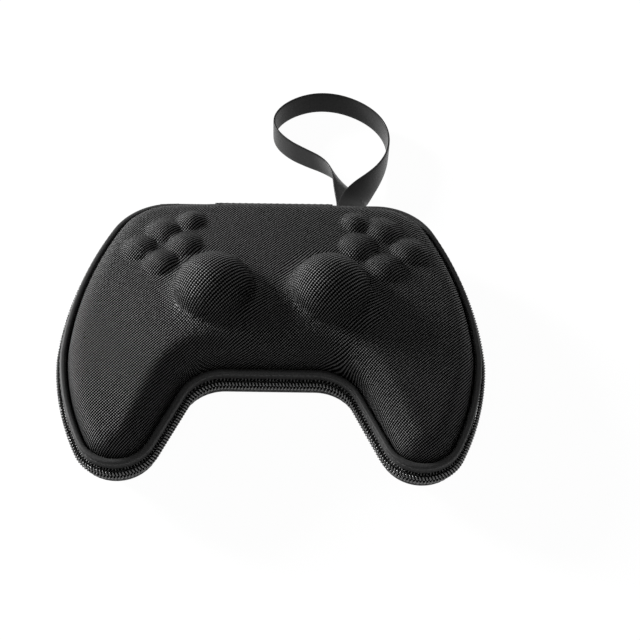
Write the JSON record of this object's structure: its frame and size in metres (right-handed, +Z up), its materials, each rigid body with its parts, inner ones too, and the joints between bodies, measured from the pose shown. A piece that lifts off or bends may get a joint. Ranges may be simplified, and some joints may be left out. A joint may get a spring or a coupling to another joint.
{
  "type": "controller carrying case",
  "caption": "Hard two-shell zip case shaped to a game controller, with thumbstick domes, button bumps, a sliding zip pull and a wrist strap.",
  "frame": {"origin": "centre of the flat resting face under the lower shell, below the middle of the case", "axes": "+X across the case's width, +Y to the hinged rear, +Z up"},
  "size_m": [0.19, 0.2397, 0.0592],
  "materials": {
    "shell_fabric": "woven nylon over moulded foam",
    "binding_fabric": "plain woven edge tape",
    "zip_fabric": "woven zipper tape",
    "zip_coil": "satin nylon coil",
    "strap_fabric": "satin flat woven tape",
    "slider_metal": "black lacquer, worn at the edges"
  },
  "bodies": {
    "base": {"lower_shell": "shell_fabric", "lower_binding": "binding_fabric", "lower_zip_tape": "zip_fabric", "lower_zip_coil": "zip_coil", "lower_zip_stops": "zip_coil", "hinge_strip": "binding_fabric", "strap_anchor": "binding_fabric", "wrist_strap": "strap_fabric"},
    "lid": {"upper_shell": "shell_fabric", "upper_binding": "binding_fabric", "upper_zip_tape": "zip_fabric", "upper_zip_coil": "zip_coil", "upper_zip_stops": "zip_coil"},
    "slider": {"zip_slider": "slider_metal"},
    "pull": {"pull_tab": "slider_metal"}
  },
  "joints": [
    {"name": "lid_hinge", "type": "hinge", "parent": "base", "child": "lid", "pos_m": [0, 0.083, 0.0224], "axis": [-1, 0, 0], "range_deg": [0, 110], "deforming": ["hinge_strip"]},
    {"name": "slider_travel", "type": "hinge", "parent": "base", "child": "slider", "pos_m": [-0.0485, 0.0508, 0.02], "axis": [0, 0, 1], "range_deg": [0, 52]},
    {"name": "pull_swing", "type": "hinge", "parent": "slider", "child": "pull", "pos_m": [-0.05034, 0.08585, 0.0184], "axis": [0.9986, 0.0523, 0], "range_deg": [0, 90]}
  ]
}
